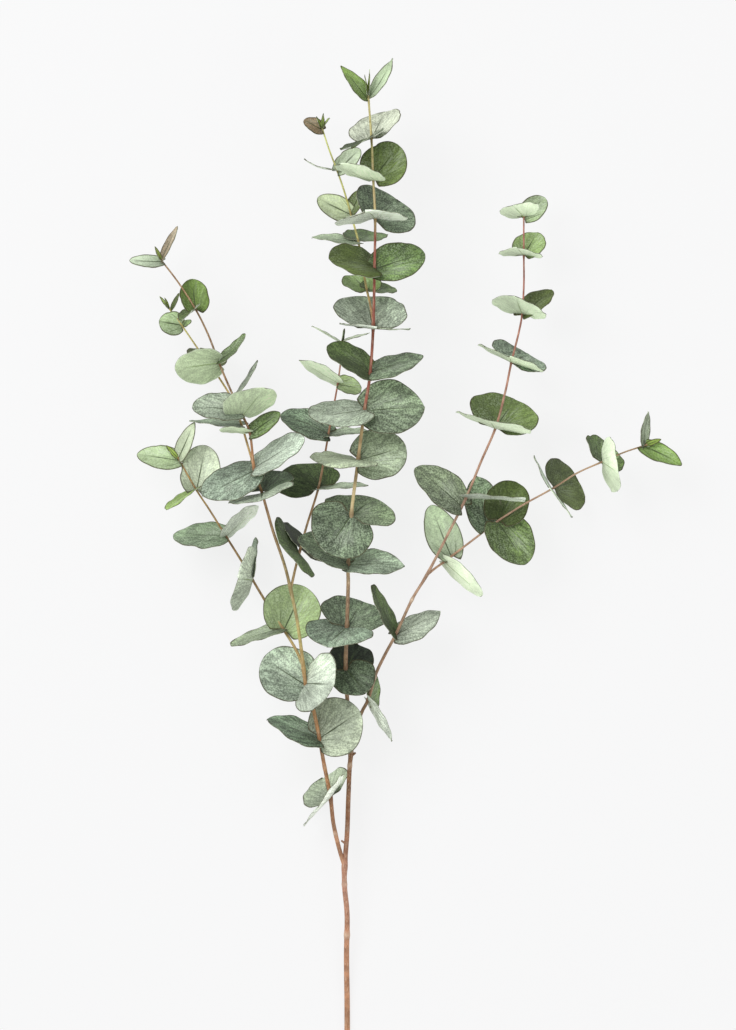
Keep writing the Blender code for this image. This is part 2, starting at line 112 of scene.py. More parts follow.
# How much the grain and the streaks of the bloom show on leaves of each colour.
SPECKLE = {"grey": 1.0, "green": 0.8, "olive": 0.5, "russet": 0.5, "fresh": 0.4, "bud": 0.2}

# What the bark has beyond the solids, in millimetres or as shares.
SLIM = 0.92  # the bark is a little thinner than its solid, which holds the leaves' roots
STEPS_A_STRETCH = 8  # rings of a stem for each point of its route
ROUNDNESS = 5  # of a stem's section, as Blender counts it
KNOT, KNOT_LENGTH = 0.24, 1.6  # how much thicker a stem is at the foot of a pair of leaves
SCAR, SCAR_LENGTH = 0.3, 1.0  # the ring that a fallen pair leaves
COLLAR, COLLAR_LENGTH = 0.3, 5.0  # the swelling where a shoot leaves its stem
TWIG_SIDES, TWIG_FLARE, TWIG_TAPER, TWIG_ROUNDING = 12, 1.2, 0.8, 0.2  # the shape of a cut twig

BARK_SMOOTH, LEAF_SMOOTH = 50, 55  # edges flatter than this many degrees are shaded smooth

# The looks. The size of a pattern is given as how often it repeats in a metre.
CLOUDS, VEIN_WANDER, BLOOM_PATCHES, UNDER_PATCHES, DRY_SPOTS = 38, 90, 60, 70, 300
NET, BLOOM_GRAINS, UNDER_GRAINS = 620, 800, 900
UPPER_DEPTH, UNDER_DEPTH = 0.42, 0.3  # how strongly each face is mottled, and how strongly it gets painted shade at the root and on its far half
FAN_ROOT = 9.0  # the streaks fan out from this far behind a leaf's root, in millimetres
LEAF_APART = 40.0  # how far apart two leaves read their noise
UNDER_PAINTED_LIGHT = 1.06  # the under faces are painted this much lighter than their own colour, as painted light from below and through the leaf
RELIEF, BARK_RELIEF = 0.25 * MM, 0.3 * MM  # height of the bump on the leaves and on the bark

# The studio, in metres, and the camera's frame in millimetres from the foot of the stem.
TABLE_SIZE, TABLE_DROP = 9, 0.5 * MM
LIGHTS = (("window_light", (-1.5, 1.3, 2.4), 2.2, "key"), ("fill_light", (1.9, -1.2, 2.0), 2.4, "fill"))
FRAME_MIDDLE, FRAME_HEIGHT = (16.8, 429.6, 50), 824
SENSOR_HEIGHT, FAR_CLIP = 24, 50  # the sensor in millimetres, and how far the camera sees

Stem = namedtuple("Stem", "parent foot_radius tip_radius route")
Stub = namedtuple("Stub", "stem height reach radius")
Leaf = namedtuple(
    "Leaf", "tone tint height reach facing width fold cup point", defaults=(8, 0.0, 0.1))


def as_leaves(*rows):
    return [Leaf(*row) for row in rows]


# A stem: what carries it, its radius at the foot and at the tip, and its route from the foot of the branch.
STEMS = {
    "main_stem": Stem(None, 2.5, 0.9, (
        (0, 0, 2.3), (0, 34, 2.3), (-0.5, 74, 7), (0, 107, 12), (-2, 130, 16), (-2, 147, 18.5),
        (0, 174, 22.5), (1, 202, 27), (2, 226, 32), (3, 242, 35), (1, 270, 41), (-1, 306, 48),
        (0, 341, 54), (1, 374, 59), (1, 390, 61.5), (3.5, 430, 67), (9, 474, 71), (14, 513, 73.5),
        (18.5, 542, 75), (21, 580, 76), (22, 626, 76), (22.5, 665, 76), (21, 697, 75),
        (19.5, 730, 74), (17, 764, 73.5))),
    "left_stem": Stem("main_stem", 1.9, 0.7, (
        (-2, 147, 18.5), (-6.5, 162, 21.5), (-11, 182, 25.5), (-13.5, 204, 30.5), (-18.5, 230, 36),
        (-22, 250, 40), (-27, 274, 44), (-33, 294, 48), (-36, 318, 51), (-40, 346, 54),
        (-45, 370, 56), (-50, 390, 57.5), (-58.5, 415, 60), (-64, 434, 61.5), (-68, 448, 63),
        (-74, 466, 64), (-77.5, 495, 64), (-85.5, 513, 63), (-94.5, 533, 62.5), (-102.5, 552, 61),
        (-111, 574, 59), (-121, 594, 57), (-134.5, 615, 53.5), (-149, 634, 50.5))),
    "outer_left_shoot": Stem("left_stem", 1.35, 0.7, (
        (-34.5, 307, 49.5), (-41, 322, 45.5), (-51, 338, 40), (-64, 358, 35), (-76, 378, 33.5),
        (-85.5, 394, 33.5), (-98, 414, 34.5), (-110.5, 434, 35), (-121, 450, 36), (-136, 476, 36))),
    "twin_left_shoot": Stem("left_stem", 1.05, 0.65, (
        (-74.5, 469, 64), (-79, 484, 54), (-84.5, 502, 46), (-92, 522, 41), (-101.5, 538, 39.5),
        (-111, 551, 39.5), (-121, 565, 39.5), (-132, 581, 39.5), (-142.5, 595, 39.5))),
    "inner_left_shoot": Stem("left_stem", 1.2, 0.65, (
        (-45, 370, 56), (-41.5, 386, 49.5), (-37.5, 402, 43), (-32, 422, 37.5), (-23, 451, 33.5),
        (-18.5, 474, 32), (-15, 494, 31), (-10.5, 518, 30.5), (-7.5, 535, 30.5), (-5, 554, 30.5),
        (-4, 569, 30.5))),
    "back_top_shoot": Stem("main_stem", 1.1, 0.65, (
        (21, 583, 76), (18.5, 598, 68), (16, 609, 60.5), (12, 630, 49.5), (9, 649, 41.5),
        (3, 671, 36.5), (-2.5, 690, 35), (-8, 706, 35), (-14.5, 723, 35), (-20, 740, 35))),
    "right_stem": Stem("main_stem", 1.6, 0.7, (
        (3, 240, 35), (7, 258, 37.5), (12, 272, 39), (17, 282, 40), (23, 302, 42.5), (30.5, 318, 45.5),
        (39, 334, 49), (52, 362, 53.5), (64, 382, 56), (80, 413, 57.5), (95, 443, 58.5),
        (107, 472, 58.5), (119, 500, 57.5), (126.5, 528, 56), (131.5, 552, 54.5), (137, 574, 53),
        (140, 590, 52), (141.5, 614, 49.5), (141.5, 637, 48), (141.5, 669, 45.5))),
    "right_side_shoot": Stem("right_stem", 1.05, 0.65, (
        (64.5, 382, 56), (70.5, 387, 53.5), (77.5, 392, 51), (92, 403, 49), (106.5, 414, 47.5),
        (121, 425, 46), (141.5, 438, 43.5), (165, 451, 41), (184, 463, 39.5), (204, 472, 39),
        (222.5, 480, 38), (241, 486, 38))),
}

# What is left of twigs that were cut off.
STUBS = (
    Stub("main_stem", 165, (-4, 3, 2), 0.9),
    Stub("main_stem", 236, (4, 3, 1), 1.0),
    Stub("left_stem", 376, (-5, 18, 5), 0.6),
)

# Rings that fallen leaves left on the bare part of a stem, by height.
SCARS = {"main_stem": (92, 133, 176, 229), "left_stem": (173, 228), "right_stem": (300, 362)}

# The colour of each stem's bark by height, from foot to tip, as painted colours (0 to 255).
BARK = {
    "main_stem": (
        (0, (186, 136, 100)), (92, (184, 132, 102)), (133, (196, 146, 124)), (176, (150, 106, 78)),
        (228, (126, 90, 62)), (300, (146, 114, 88)), (400, (172, 148, 116)), (430, (192, 176, 130)),
        (500, (186, 158, 116)), (520, (158, 92, 76)), (650, (150, 80, 66)), (668, (196, 180, 126)),
        (764, (200, 196, 130))),
    "left_stem": (
        (147, (188, 140, 108)), (228, (172, 122, 84)), (292, (184, 140, 92)), (330, (182, 168, 106)),
        (400, (150, 132, 96)), (470, (176, 126, 86)), (520, (146, 114, 84)), (634, (150, 124, 88))),
    "outer_left_shoot": ((307, (182, 162, 104)), (380, (150, 124, 84)), (476, (180, 146, 90))),
    "twin_left_shoot": ((469, (172, 142, 96)), (520, (192, 164, 108)), (595, (190, 188, 112))),
    "inner_left_shoot": ((370, (176, 150, 106)), (470, (164, 124, 96)), (569, (164, 96, 84))),
    "back_top_shoot": ((583, (164, 122, 86)), (640, (190, 184, 112)), (740, (198, 204, 118))),
    "right_stem": (
        (240, (140, 106, 80)), (320, (160, 130, 104)), (440, (180, 146, 124)), (540, (172, 120, 104)),
        (669, (166, 100, 92))),
    "right_side_shoot": ((382, (180, 142, 114)), (440, (188, 154, 132)), (486, (178, 148, 112))),
}

# A leaf: how pale it is (-1 dark to 1 pale; this holds the leaf's own shade together with painted shade
# or painted light for where it lies in shadow or in the light) and its tint; then, as in the part's source,
# the height of its root on the stem; where its tip is from there (right, up, towards the viewer); the way
# its upper face looks; its width; and how far it is folded (degrees), cupped, and drawn to a point.
LEAVES = {}
LEAVES["main_stem"] = as_leaves(
    (-0.1, "fresh", 761, (-22, 27, 6), (0.6, 0.35, 0.6), 19, 10, 0, 0.9),
    (0.6, "fresh", 761, (19, 32, -3), (-0.7, 0.35, 0.55), 18, 8, -0.05, 0.9),
    (-0.3, "bud", 762, (-3, 19, 3), (0.9, 0.1, 0.3), 5, 10, 0, 0.9),
    (-0.2, "bud", 762, (1, 22, 0), (-0.9, 0.1, 0.3), 4, 10, 0, 0.9),
    (0.95, "grey", 730, (11, 23, -29), (-0.41, 0.76, 0.5), 46, 12),
    (-0.6, "green", 730, (-16, -10, 29), (-0.42, 0.9, 0.05), 38, 10),
    (0.7, "fresh", 697, (-26, 12, 22), (0.36, 0.89, -0.26), 42, 8, -0.04),
    (0, "olive", 697, (20, 27, -10), (0, 0.3, 0.95), 37, 10, -0.06),
    (-0.2, "grey", 665, (17, 18, -33), (0.46, 0.65, 0.6), 56, 10),
    (0.95, "grey", 665, (-8, 4, 35), (0.05, 0.9, -0.45), 59, -12, 0.05),
    (0, "green", 626, (40, 13, -8), (0.03, 0.4, 0.9), 33, 8, 0.03),
    (-0.35, "olive", 626, (-36, 6, 16), (0.41, 0.75, 0.5), 44, 8, 0.03),
    (0.35, "grey", 580, (-6, 25, -32), (0.12, 0.86, 0.5), 61, 10),
    (0.5, "grey", 577, (3, 0, 34), (0.05, 0.95, -0.3), 58, 4),
    (-0.5, "green", 542, (-34, 23, 0), (0.47, 0.75, 0.47), 43, 8, 0.03),
    (0, "grey", 542, (42, 14, -4), (-0.2, 0.84, 0.5), 38, 0, 0, 0.5),
    (0.1, "grey", 513, (48, 3, -5), (-0.1, 0.55, 0.8), 53, 6, 0.03, 0.5),
    (0.62, "grey", 513, (-44, -5, 16), (0.1, 0.9, 0.42), 50, 0, -0.03, 0.3),
    (0.3, "green", 474, (38, 11, -6), (-0.05, 0.45, 0.88), 46, 0, 0, 0.2),
    (0.5, "green", 473, (-28, -4, 30), (0.1, 0.98, 0.18), 60, 2, 0.02),
    (0, "grey", 430, (18, 14, -30), (0.14, 0.88, 0.5), 60, -4),
    (-0.06, "grey", 429, (-20, -30, 14), (0.3, 0.4, 0.87), 54, 4, 0.02),
    (0.25, "grey", 390, (45, 0, 3), (0, 0.9, 0.43), 43, 6, 0.03, 0.6),
    (-0.1, "grey", 390, (-40, 21, -5), (0.35, 0.79, 0.5), 48, 8, 0.03, 0.2),
    (-0.15, "grey", 341, (12, 20, -30), (0.13, 0.82, 0.55), 54, 10),
    (0.15, "grey", 339, (-16, -15, 30), (-0.03, 0.85, 0.5), 59, 8, 0.02, 0.4),
    (-0.97, "grey", 306, (10, 20, -26), (0.1, 0.85, 0.5), 38, 10),
    (-0.5, "grey", 306, (16, -19, 18), (-0.1, 0.62, 0.72), 37, 10),
)
LEAVES["left_stem"] = as_leaves(
    (0.55, "green", 204, (-6, 14, -30.5), (-0.5, 0.5, 0.65), 46, 10),
    (0.7, "grey", 202, (-10, -7, 29), (-0.66, 0.7, -0.33), 55, 6, 0, 0.4),
    (-0.15, "grey", 250, (-42, 17, 5), (0.35, 0.85, 0.4), 43, 0, 0.02, 0.5),
    (0.55, "green", 250, (32, 22, 12), (-0.2, 0.2, 0.96), 50, 10, -0.05),
    (0.38, "grey", 294, (-34, 22, -6), (0.1, 0.25, 0.96), 47, 6, -0.03),
    (1, "grey", 294, (23, 0, 32), (-0.8, 0.43, 0.42), 53, 6),
    (0.4, "grey", 448, (0, -6, 34), (-0.33, 0.9, 0.28), 56, 6),
    (-0.5, "grey", 448, (12, 16, -26), (-0.2, 0.85, 0.45), 44),
    (0.2, "grey", 466, (-41, -21, 10), (-0.2, 0.75, 0.63), 45, 0, 0, 0.2),
    (0.65, "grey", 466, (40, 25, 3), (-0.5, 0.75, 0.42), 45, 2),
    (-0.05, "green", 495, (24, 17, 2), (-0.35, 0.45, 0.82), 18, 6),
    (0.5, "fresh", 495, (-24, 2, 3), (-0.1, 0.97, -0.2), 19, 6, 0, 0.3),
    (0.45, "grey", 513, (-38, 4, 3), (-0.15, 0.8, 0.58), 38, 8, 0.02, 0.2),
    (0.1, "fresh", 508, (18, 22, 22), (-0.42, 0.72, -0.5), 50, 8, 0, 0.3),
    (-0.35, "fresh", 552, (-35, -5, 2), (0.1, 0.62, -0.78), 34, -6),
    (-0.1, "green", 552, (22, 21, 5), (-0.65, 0.7, 0.3), 26, 8, -0.08, 0.3),
    (-0.45, "fresh", 594, (-3, 25, -8), (0.3, 0.1, 0.95), 25, 10, -0.05),
    (-0.3, "green", 594, (-10, -10, 16), (-0.5, 0.8, 0.3), 22, 25, 0, 0.5),
    (0.7, "fresh", 633, (-26, 1, 2), (0, 0.6, 0.8), 13, 4, -0.02),
    (0.1, "russet", 633, (13, 27, -3), (-0.8, 0.35, 0.5), 13),
    (0.1, "bud", 633, (-6, 12, 2), (0.6, 0.3, 0.5), 5, 10, 0, 0.9),
)
LEAVES["outer_left_shoot"] = as_leaves(
    (0.3, "fresh", 338, (16, 35, -2), (-0.1, 0.1, 0.98), 48, 8, -0.04),
    (0.3, "green", 338, (-42, -13, -6), (-0.25, 0.9, 0.3), 35, 4, 0.02, 0.4),
    (0.1, "green", 378, (-11, 2, 27), (-0.9, 0.25, -0.17), 56, 10, 0, 0.4),
    (0, "grey", 378, (1, 31, -33), (-0.9, 0.1, 0.4), 30, 8, 0, 0.3),
    (0.25, "green", 414, (-42, 0, -8), (-0.15, 0.85, 0.5), 40, 0, 0, 0.2),
    (0.9, "grey", 412, (26, 24, 0), (-0.66, 0.69, -0.3), 35, 8, 0, 0.3),
    (0.95, "green", 450, (7, 36, -8), (0.2, 0.2, 0.95), 34, 8, -0.03),
    (0, "fresh", 450, (-23, -17, 14), (-0.45, 0.9, 0.15), 26, 6, 0.02, 0.3),
    (0.4, "fresh", 474, (-34, 5, -3), (0.05, 0.5, 0.86), 22, 8, 0, 0.4),
    (0.7, "fresh", 474, (13, 29, 0), (-0.5, 0.3, 0.8), 16, 10, 0, 0.7),
    (0, "bud", 475, (-10, 11, 3), (0.5, 0.5, 0.7), 6, 10, 0, 0.5),
)
LEAVES["twin_left_shoot"] = as_leaves(
    (0.1, "grey", 502, (-42, 4, -6), (0.1, 0.97, 0.22), 35, 4, 0, 0.5),
    (0.3, "grey", 521, (20, 32, -10), (-0.85, 0.45, 0.2), 21, 10, -0.06, 0.6),
    (-0.3, "olive", 551, (-8, 13, -27), (0.3, 0.85, 0.4), 34, 8, 0, 0.3),
    (0.35, "fresh", 581, (-18, 3, 3), (-0.1, 0.2, 0.97), 20),
    (0.1, "fresh", 581, (3, 6, -12), (-0.3, 0.7, 0.5), 12),
    (0.1, "bud", 594, (-8, 10, 2), (0.6, 0.6, 0.5), 5, 10, 0, 0.6),
    (-0.2, "olive", 594, (7, 14, 2), (-0.7, 0.4, 0.5), 7, 10, 0, 0.2),
    (0, "bud", 594, (-4, 9, 4), (0.7, 0.3, 0.5), 3.5, 10, 0, 0.6),
)
LEAVES["inner_left_shoot"] = as_leaves(
    (0.8, "fresh", 568, (-24, 14, 3), (0.5, 0.85, 0.1), 16, 10, 0, 0.6),
    (0.8, "fresh", 568, (22, 7, -2), (-0.3, 0.95, 0.1), 14, 8, 0, 0.6),
    (-0.5, "olive", 568, (2, 12, 0), (0.9, 0.1, 0.4), 5, 14, 0, 0.3),
    (0.85, "fresh", 535, (-31, 18, 2), (0.42, 0.8, -0.42), 24, 8, 0, 0.6),
    (0.25, "fresh", 535, (19, -3, -6), (0.05, 0.75, 0.6), 24, 10),
    (-0.15, "grey", 494, (-38, 16, -3), (0.35, 0.75, 0.55), 42, 4, 0.02, 0.2),
    (0.2, "grey", 494, (32, 2, 5), (-0.05, 0.98, 0.2), 37, 8, 0.02, 0.2),
    (-0.62, "green", 451, (-22, 18, -22), (0.1, 0.7, 0.68), 58, -4, 0, 0.2),
    (0.55, "grey", 451, (40, 3, 11), (-0.1, 0.98, 0.12), 35, 6, 0, 0.2),
    (-0.95, "green", 402, (3, 9, -29), (0.6, 0.5, 0.85), 48),
    (-0.4, "green", 400, (-15, 7, 27), (0.7, 0.62, 0.35), 61, 6, 0, 0.3),
)
LEAVES["back_top_shoot"] = as_leaves(
    (0, "russet", 739, (-15, 8, 2), (0.3, 0.5, 0.8), 15),
    (0.1, "bud", 739, (6, 8, 3), (-0.8, 0.5, 0.2), 10, 10),
    (0, "bud", 739, (-5, 11, 0), (0.5, 0.4, 0.6), 4, 10, 0, 0.9),
    (-0.1, "bud", 739, (1, 12, 0), (-0.5, 0.4, 0.6), 4, 10, 0, 0.9),
    (0.7, "fresh", 706, (18, 18, 0), (-0.4, 0.5, 0.76), 20, 6, 0, 0.2),
    (0.5, "green", 706, (-26, 8, 6), (0.25, 0.95, 0.08), 19, 6, -0.1, 0.4),
    (0.6, "fresh", 671, (-27, 13, 2), (0.1, 0.3, 0.95), 21, 6),
    (0, "olive", 671, (10, 20, -5), (-0.5, 0.3, 0.8), 15, 10, 0, 0.2),
    (0.4, "green", 649, (-37, 4, 3), (0, 0.97, 0.25), 28, 4, 0, 0),
    (-0.2, "green", 649, (14, 8, -41), (0, 0.8, 0.5), 36),
    (0.1, "fresh", 609, (-12, 13, -21), (0.2, 0.75, 0.6), 34, 10, 0, 0.2),
    (-0.1, "green", 609, (22, 2, -16), (0.1, 0.9, 0.35), 30, 8, 0, 0.2),
)
LEAVES["right_stem"] = as_leaves(
    (0.2, "grey", 282, (19, -33, 2), (0.84, 0.5, -0.3), 27, 8, 0, 0.6),
    (0, "green", 282, (6, 18, -27), (0.85, 0, 0.45), 32, 8, 0, 0.3),
    (0.4, "grey", 334, (36, 19, -2), (-0.4, 0.72, 0.5), 40, -6, 0, 0.3),
    (-0.5, "green", 334, (-19, 39, 6), (0.8, 0.3, 0.25), 34, 6, -0.04, 0.6),
    (0.08, "grey", 437, (-37, 31, -2), (0.45, 0.6, 0.65), 42, 6, 0.02),
    (0.3, "green", 443, (47, -2, 9), (0.1, 0.98, -0.15), 28, 6, 0, 0.5),
    (0, "olive", 500, (16, 23, -30), (0.2, 0.75, 0.6), 57),
    (0.9, "fresh", 498, (-5, 6, 34), (0.34, 0.88, -0.4), 64, 6, 0, 0.3),
    (0.1, "grey", 552, (14, 8, -31), (0.38, 0.8, 0.42), 50),
    (0.8, "fresh", 551, (-2, 4, 32), (0.39, 0.85, -0.25), 56, 4, 0, 0.4),
    (-0.5, "olive", 590, (24, 21, -14), (-0.5, 0.5, 0.7), 27, 10, 0, 0.2),
    (0.8, "fresh", 590, (-6, 13, 26), (0.35, 0.8, -0.45), 46, -6, 0, 0.3),
    (0.1, "fresh", 638, (11, 19, -14), (-0.2, 0.45, 0.85), 27, 10),
    (0.8, "fresh", 637, (-6, 5, 21), (0.2, 0.9, -0.5), 36, -10),
    (0.4, "fresh", 668, (17, 17, -9), (-0.1, 0.4, 0.85), 21),
    (0.9, "fresh", 668, (-9, 8, 18), (0.15, 0.7, -0.75), 33),
    (-0.1, "bud", 668, (0, 10, 2), (0.3, 0.3, 0.9), 6, 14, 0, 0.3),
)
LEAVES["right_side_shoot"] = as_leaves(
    (0.6, "fresh", 397, (-16, 41, -15), (0.3, 0.15, 0.93), 30, 8, -0.03, 0.3),
    (0.9, "fresh", 392, (30, -27, 6), (0.5, 0.6, -0.5), 24, 8, 0, 0.5),
    (0, "grey", 419, (-8, 42, -22), (0.05, 0.35, 0.93), 30, 8, 0, 0.4),
    (-0.5, "olive", 425, (15, 30, -18), (0.05, 0.5, 0.85), 37),
    (-0.02, "green", 425, (23, -34, 8), (0.3, 0.4, 0.85), 42, 10, 0, 0.2),
    (-0.4, "olive", 451, (20, 6, -40.5), (0.75, 0.5, 0.55), 48),
    (0.9, "fresh", 451, (-3, 1, 32), (0.84, 0.5, -0.52), 58, 4, 0, 0.4),
    (1, "fresh", 472, (12, -9, 22), (0.85, 0.3, -0.6), 48, 8, 0, 0.2),
    (0, "green", 472, (5, 16, -25), (0.7, 0.58, 0.5), 40, 10, 0, 0.2),
    (0.3, "green", 485, (3, 27, 2), (0.8, 0.1, 0.5), 14, 8, -0.06, 0.3),
    (0, "fresh", 485, (31, -15, 2), (0.3, 0.5, 0.8), 20, 8, 0.04, 0.78),
    (-0.5, "bud", 485, (13, 5, 2), (0.1, 0.6, 0.7), 6, 12, 0, 0.5),
)

# The marks on the bark, as painted colours (0 to 255).
BARK_MARKS = {
    "patch": (122, 82, 58), "fibre": (236, 214, 186), "furrow": (104, 66, 46), "speck": (84, 52, 38),
    "knot": (98, 68, 48), "scar": (240, 216, 190), "skin": (120, 84, 60)}


def foot_centre():
    """The middle of the main stem's cut foot, where the routes start."""
    points = [vertex.co for vertex in frame["nodes"]["main_stem"].data.vertices]
    lowest = min(point.y for point in points)
    ring = [point for point in points if point.y < lowest + MM]
    return sum(ring, Vector()) / len(ring)


FOOT = foot_centre()
ORIGIN = FOOT - Vector(STEMS["main_stem"].route[0]) * MM


def linear(channel):
    """The scene-linear value of one painted channel, 0 to 255."""
    share = channel / 255
    return share / 12.92 if share <= 0.04045 else ((share + 0.055) / 1.055) ** 2.4


def paint(channels):
    return [linear(channel) for channel in channels]


def colour(name, description, painted):
    """A colour property whose default is given as a painted colour, 0 to 255."""
    return FloatVectorProperty(
        name=name, description=description, subtype="COLOR", size=3, min=0, max=1, default=paint(painted))


def length(name, description, millimetres):
    return FloatProperty(
        name=name, description=description, default=millimetres * MM, min=0, unit="LENGTH", precision=4)


def power(name, description, watts):
    return FloatProperty(name=name, description=description, default=watts, min=0, unit="POWER")


class BranchSizes(bpy.types.PropertyGroup):
    blade: length("Blade", "Thickness of a leaf", 0.45)
    columns: IntProperty(name="Columns", description="Faces across a leaf", default=18, min=4)
    rows: IntProperty(name="Rows", description="Faces along a leaf", default=26, min=4)


class BranchColours(bpy.types.PropertyGroup):
    grey: colour("Grey", "Upper face of an old leaf", (106, 123, 97))
    green: colour("Green", "Upper face of a leaf in its second season", (97, 120, 67))
    fresh: colour("Fresh", "Young leaf near a tip", (134, 164, 82))
    olive: colour("Olive", "Leaf that turns towards yellow", (98, 115, 58))
    russet: colour("Russet", "Leaf with a red-brown flush", (158, 134, 102))
    # Also the colour of the painted highlight on the upper faces and of the painted highlight along the under
    # faces' rims.
    pale: colour("Pale", "What the palest leaves come near to", (218, 228, 210))
    bud: colour("Bud", "Youngest leaves, still shut", (178, 206, 92))
    bloom: colour("Bloom", "Waxy bloom on the upper faces", (188, 198, 182))
    underside: colour("Underside", "Under face of the young leaves", (236, 251, 218))
    old_underside: colour("Old underside", "Under face of the grey leaves", (231, 239, 224))
    vein: colour("Vein", "Midrib and veins", (62, 74, 46))
    rim: colour("Rim", "Dry rim of the leaves", (70, 64, 42))
    wood: colour("Wood", "Cut face of the stem's foot", (222, 206, 168))
    pith: colour("Pith", "Middle of the cut face", (150, 116, 84))


class StudioSettings(bpy.types.PropertyGroup):
    table: colour("Table", "Pale surface that the branch lies on", (100, 100, 101))
    glow: FloatProperty(
        name="Table glow", description="Light that the table gives off", default=0.80, min=0)
    distance: length("Camera distance", "From the lens to the branch", 6000)
    key: power("Key light", "Power of the large window light", 60.0)
    fill: power("Fill light", "Power of the light from the other side", 19.0)
    sky: FloatProperty(
        name="Room light", description="Strength of the light from all round", default=0.55, min=0)


def operator_pair(operation):
    """The two methods of an operator, with the value on its left and on its right."""
    def on_left(self, other):
        return self.math(operation, self, other)

    def on_right(self, other):
        return self.math(operation, other, self)

    return on_left, on_right


class Value:
    """One output of a material's graph. An expression on it adds the Math nodes that work it out."""

    def __init__(self, graph, socket):
        self.graph, self.socket = graph, socket

    def math(self, operation, *operands):
        return self.graph.add("ShaderNodeMath", {"operation": operation}, *operands)

    __add__, __radd__ = operator_pair("ADD")
    __sub__, __rsub__ = operator_pair("SUBTRACT")
    __mul__, __rmul__ = operator_pair("MULTIPLY")
    __truediv__, __rtruediv__ = operator_pair("DIVIDE")

    def size(self):
        return self.math("ABSOLUTE", self)

    def to_line(self):
        """How far the value is from the nearest whole number, 0 to 0.5."""
        return self.math("PINGPONG", self, 0.5)

    def scaled(self, amount):
        """A colour made lighter or darker."""
        return self.graph.add("ShaderNodeVectorMath", {"operation": "SCALE"}, self, Scale=amount)

    def step(self, low, high):
        """0 below low and 1 above high, smooth between them."""
        settings = {"interpolation_type": "SMOOTHSTEP"}
        return self.graph.add("ShaderNodeMapRange", settings, self, low, high)


class Graph:
    """A new material's nodes, round its Principled shader."""

    def __init__(self, name):
        self.material = bpy.data.materials.new(name)
        self.material.use_nodes = True
        self.nodes = self.material.node_tree.nodes
        self.shader = self.nodes["Principled BSDF"]

    def put(self, socket, value):
        if isinstance(value, Value):
            self.material.node_tree.links.new(value.socket, socket)
        elif value is not None:
            socket.default_value = value

    def add(self, kind, settings=None, *values, output=0, **named):
        """A node of this kind. Its settings are set first, then its sockets, by place or by name."""
        node = self.nodes.new(kind)
        for key, setting in (settings or {}).items():
            setattr(node, key, setting)
        for socket, value in zip(node.inputs, values):
            self.put(socket, value)
        for name, value in named.items():
            self.put(node.inputs[name], value)
        return Value(self, node.outputs[output])

    def mix(self, factor, first, second):
        """A colour between two; each is an output or a colour property's value."""
        node = self.nodes.new("ShaderNodeMix")
        node.data_type = "RGBA"
        self.put(node.inputs["Factor"], factor)
        for name, value in (("A", first), ("B", second)):
            socket = next(s for s in node.inputs if s.name == name and s.type == "RGBA")
            self.put(socket, value if isinstance(value, Value) else (*value, 1))
        return Value(self, next(s for s in node.outputs if s.type == "RGBA"))

    def layered(self, base, *layers):
        """The base colour under others, each given with the mask that shows where it lies."""
        for mask, layer in layers:
            base = self.mix(mask, base, layer)
        return base

    def attribute(self, name, output="Color"):
        return self.add("ShaderNodeAttribute", {"attribute_name": name}, output=output)

    def parts(self, vector):
        node = self.nodes.new("ShaderNodeSeparateXYZ")
        self.put(node.inputs[0], vector)
        return [Value(self, socket) for socket in node.outputs]

    def coordinates(self, scale=(1, 1, 1)):
        place = self.add("ShaderNodeTexCoord", output="Object")
        return self.add("ShaderNodeMapping", {"vector_type": "POINT"}, place, Scale=scale)

    def noise(self, scale, detail=3.0, where=None):
        where = where or self.coordinates()
        return self.add("ShaderNodeTexNoise", None, where, Scale=scale, Detail=detail)

    def ramp(self, value, stops):
        node = self.nodes.new("ShaderNodeValToRGB")
        elements = node.color_ramp.elements
        for position, _ in stops[1:-1]:
            elements.new(position)
        for element, (position, shade) in zip(elements, stops):
            element.position, element.color = position, (*shade, 1)
        self.put(node.inputs[0], value)
        return Value(self, node.outputs[0])

    def bump(self, height, strength, distance):
        return self.add(
            "ShaderNodeBump", None, Height=height, Strength=strength, Distance=distance, output="Normal")

    def finish(self, base, roughness, normal, **constants):
        """Links the shader, and sets by name what is the same all over the surface."""
        self.put(self.shader.inputs["Base Color"], base)
        self.put(self.shader.inputs["Roughness"], roughness)
        self.put(self.shader.inputs["Normal"], normal)
        for name, value in constants.items():
            self.shader.inputs[name.replace("_", " ")].default_value = value
        return self.material


def sway(mask, amount):
    """A factor that darkens where the mask is 0 and lightens where it is 1, by the same amount."""
    return 1 - amount + 2 * amount * mask


Blade = namedtuple("Blade", "across along edge share tone chance")


def read_blade(graph):
    """What each point of a leaf carries: millimetres from midrib, root and rim, then its three shares."""
    return Blade(
        *graph.parts(graph.attribute("blade", "Vector")), *graph.parts(graph.attribute("leaf", "Vector")))


def veins(graph, blade):
    """(midrib, side veins, rim): masks drawn from the distances that each leaf carries."""
    wander = graph.noise(VEIN_WANDER, 2.0) - 0.5
    side = blade.across.size()
    midrib = (1 - side.step(0.2, 0.6)) * (1 - blade.share.step(0.45, 0.9))
    near = 1 - (blade.along + side).step(8.0, 30.0)
    fan = (side / (blade.along + 4.0) * 1.9 + wander * 0.3).to_line()
    spread = (blade.along * 0.15 - side * 0.12 + wander * 0.5).to_line()
    lines = (1 - fan.step(0.02, 0.09)) * near
    lines = lines + (1 - spread.step(0.01, 0.06)) * 0.4 * (1 - near)
    return midrib, lines * blade.edge.step(0.6, 3.0), 1 - blade.edge.step(0.4, 1.3)


def fan_noise(graph, blade, streaks, stretch, detail):
    """Noise drawn out along the veins, other on each leaf. More streaks are finer, more stretch shorter."""
    across = blade.across / (blade.along + FAN_ROOT) * streaks
    place = graph.add(
        "ShaderNodeCombineXYZ", None, across, blade.along * stretch, blade.chance * LEAF_APART)
    return graph.noise(1.0, detail, place)


